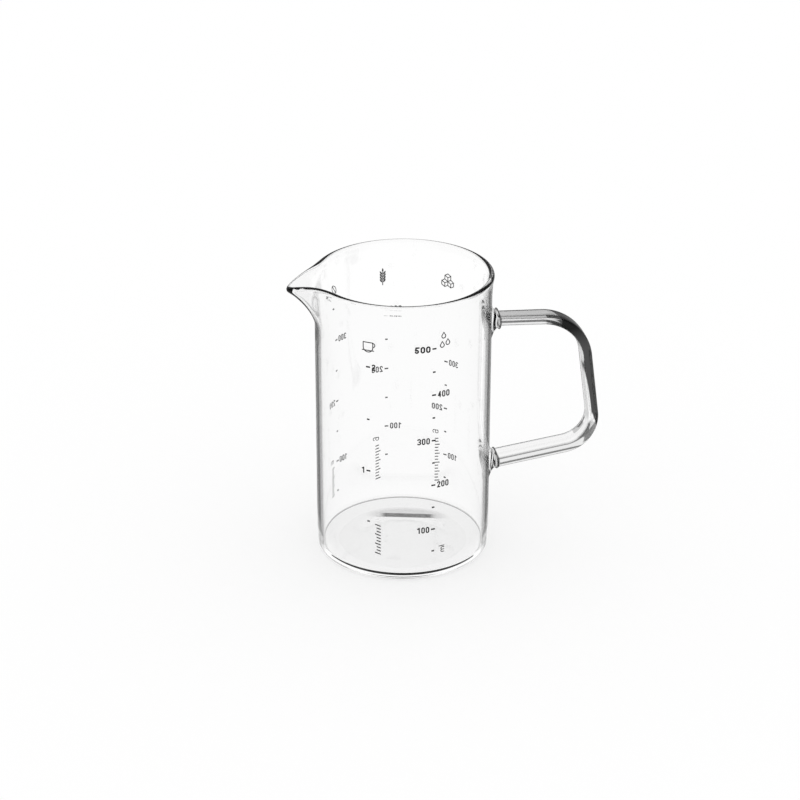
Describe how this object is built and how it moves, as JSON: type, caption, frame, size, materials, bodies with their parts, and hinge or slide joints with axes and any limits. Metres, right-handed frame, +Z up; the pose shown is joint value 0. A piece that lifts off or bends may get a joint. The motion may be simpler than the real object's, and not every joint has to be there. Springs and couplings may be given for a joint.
{
  "type": "measuring jug",
  "caption": "Clear glass measuring jug with a pulled spout, a flat fused D handle and black enamel scales for volume and weight, for kitchen use.",
  "frame": {"origin": "middle of the base, in the plane that the jug rests on, on the axis of the cylinder", "axes": "+Z up along the cylinder, +X towards the handle, -X towards the spout"},
  "size_m": [0.1447, 0.0818, 0.1366],
  "materials": {
    "vessel_glass": "clear, fire polished",
    "handle_glass": "clear, solid bar",
    "black_enamel": "black ceramic enamel, screen printed and fired, satin"
  },
  "bodies": {
    "root": {"vessel": "vessel_glass", "pouring_spout": "vessel_glass", "handle": "handle_glass", "upper_handle_seal": "handle_glass", "lower_handle_seal": "handle_glass", "millilitre_ticks": "black_enamel", "millilitre_figures": "black_enamel", "millilitre_unit": "black_enamel", "water_drops_picture": "black_enamel", "cup_ticks": "black_enamel", "cup_figures": "black_enamel", "cup_guide_line": "black_enamel", "cup_picture": "black_enamel", "cocoa_ticks": "black_enamel", "cocoa_figures": "black_enamel", "cocoa_unit": "black_enamel", "cocoa_bean_picture": "black_enamel", "flour_ticks": "black_enamel", "flour_figures": "black_enamel", "flour_unit": "black_enamel", "grain_ear_picture": "black_enamel", "sugar_ticks": "black_enamel", "sugar_figures": "black_enamel", "sugar_unit": "black_enamel", "sugar_cubes_picture": "black_enamel"}
  },
  "joints": []
}
